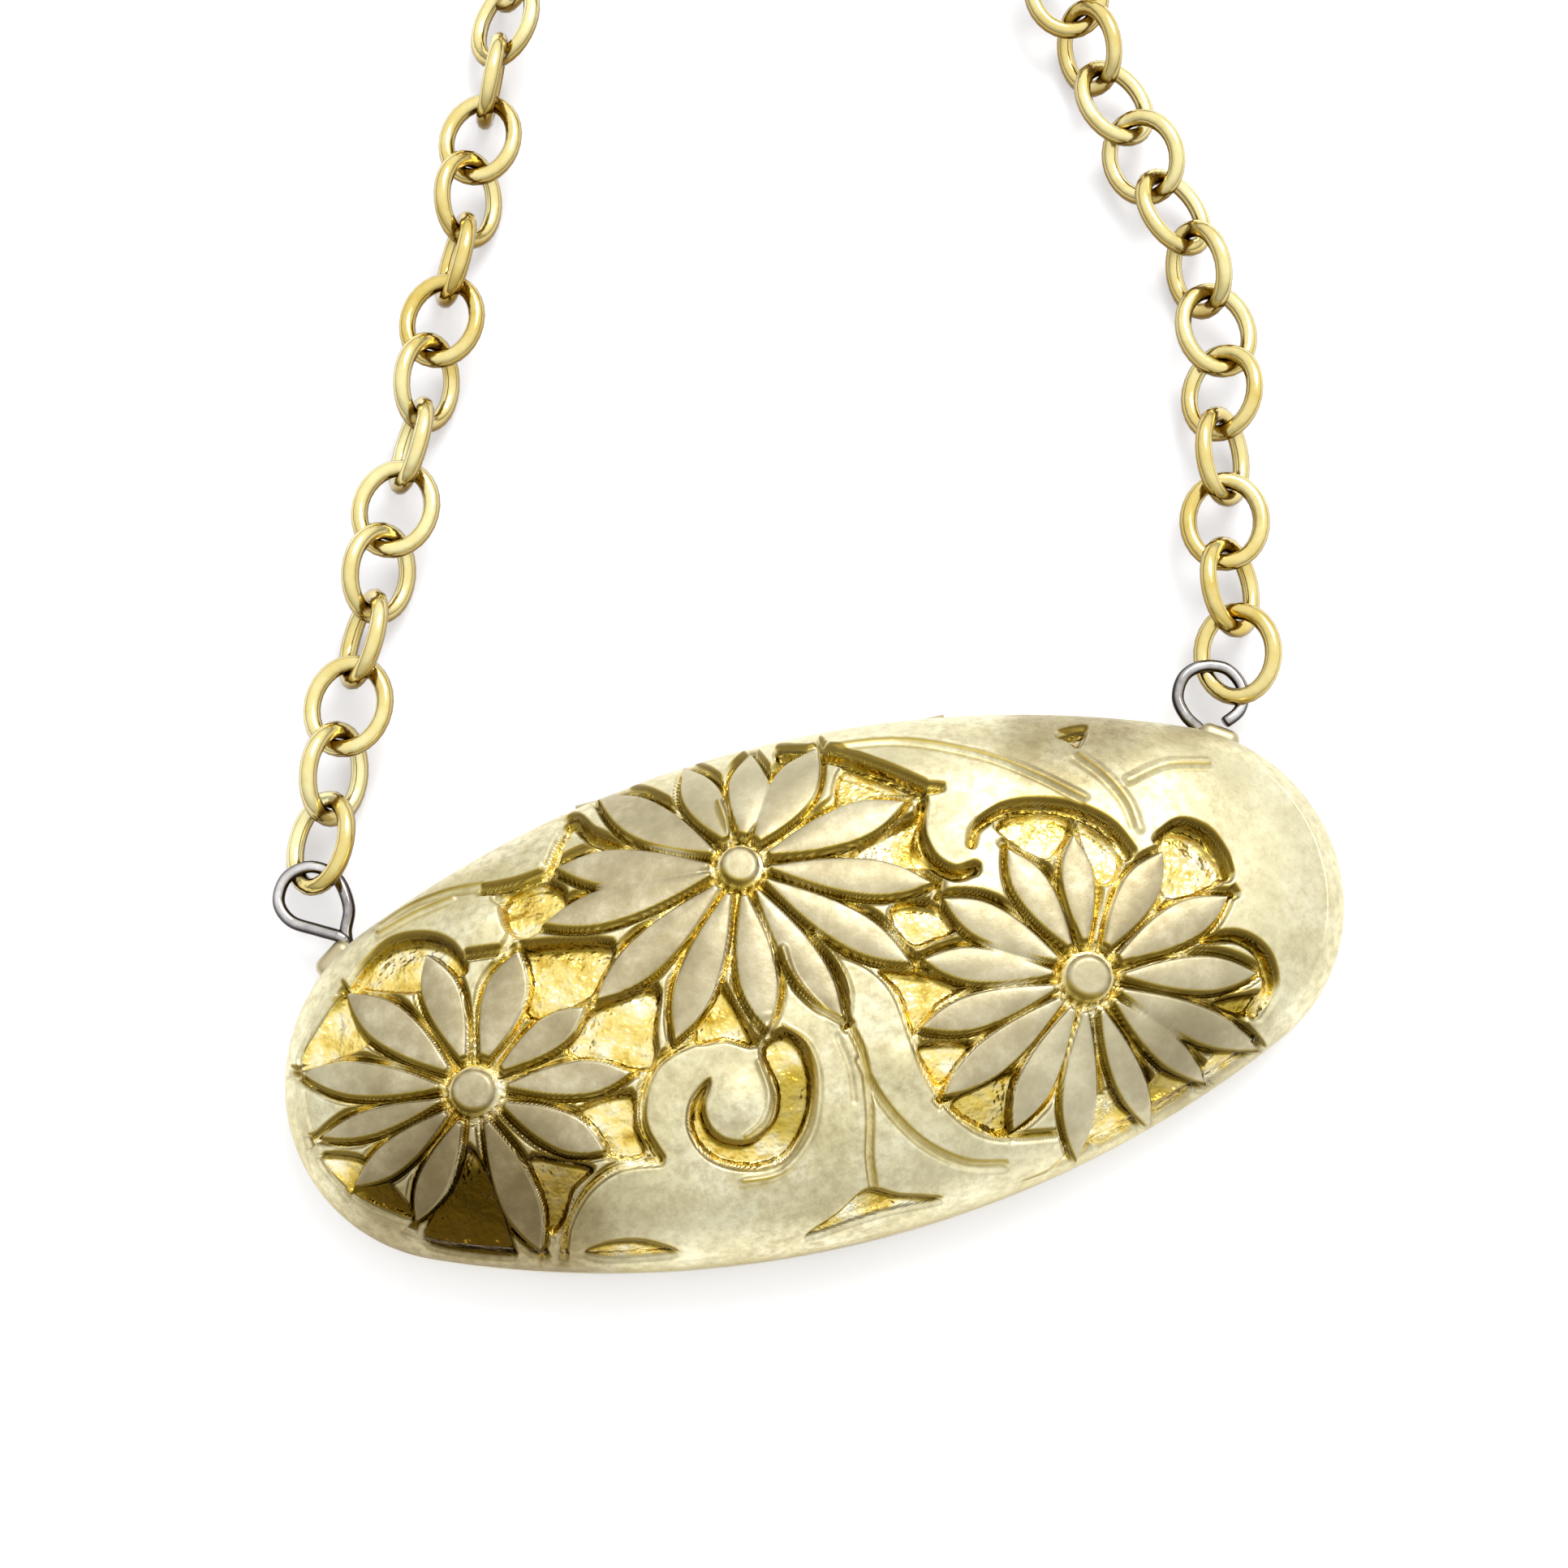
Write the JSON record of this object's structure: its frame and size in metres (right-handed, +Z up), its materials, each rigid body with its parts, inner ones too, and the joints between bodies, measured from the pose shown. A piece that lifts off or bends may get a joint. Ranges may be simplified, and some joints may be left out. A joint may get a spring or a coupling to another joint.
{
  "type": "oval locket with chain",
  "caption": "Long oval locket with a carved floral cover on a hinge, picture frames inside, wire eyes, and a cable chain with a lobster clasp.",
  "frame": {"origin": "centre of the locket's flat back, where it rests", "axes": "+X along the long axis of the oval, +Y towards the chain, +Z up through the domed cover"},
  "size_m": [0.0736, 0.1149, 0.0087],
  "materials": {
    "cover_gold": "carved relief: satin pale champagne raised parts, polished hammered gold hollows",
    "case_gold": "satin pale gold",
    "rim_gold": "polished",
    "hinge_gold": "brushed",
    "pin_steel": "drawn wire",
    "frame_gold": "polished",
    "window": "clear, thin",
    "card": "plain matt card",
    "boss_gold": "satin pale gold",
    "eye_steel": "bright drawn wire",
    "chain_gold": "polished yellow gold",
    "clasp_gold": "polished cast",
    "spring_steel": "fine wire"
  },
  "bodies": {
    "case": {"back_case": "case_gold", "snap_rim": "rim_gold", "case_knuckles": "hinge_gold", "hinge_pin": "pin_steel", "case_photo_frame": "frame_gold", "case_window": "window", "case_card": "card", "left_eye_boss": "boss_gold", "right_eye_boss": "boss_gold", "left_eye": "eye_steel", "right_eye": "eye_steel", "left_chain": "chain_gold", "right_chain": "chain_gold", "left_chain_coil": "chain_gold", "right_chain_coil": "chain_gold", "clasp_ring": "chain_gold", "end_ring": "chain_gold", "clasp_body": "clasp_gold", "clasp_spring": "spring_steel", "clasp_rivet": "clasp_gold"},
    "cover": {"front_cover": "cover_gold", "cover_knuckles": "hinge_gold", "cover_photo_frame": "frame_gold", "cover_window": "window", "cover_card": "card"},
    "lever": {"clasp_lever": "clasp_gold"}
  },
  "joints": [
    {"name": "cover_hinge", "type": "hinge", "parent": "case", "child": "cover", "pos_m": [0, 0.0097, 0.0021], "axis": [-1, 0, 0], "range_deg": [0, 110]},
    {"name": "clasp_lever_pivot", "type": "hinge", "parent": "case", "child": "lever", "pos_m": [0.01738, 0.08426, 0.0012], "axis": [0, 0, 1], "range_deg": [0, 22], "stiffness_Nm_per_rad": 0.0006, "springref_deg": -28.65}
  ]
}
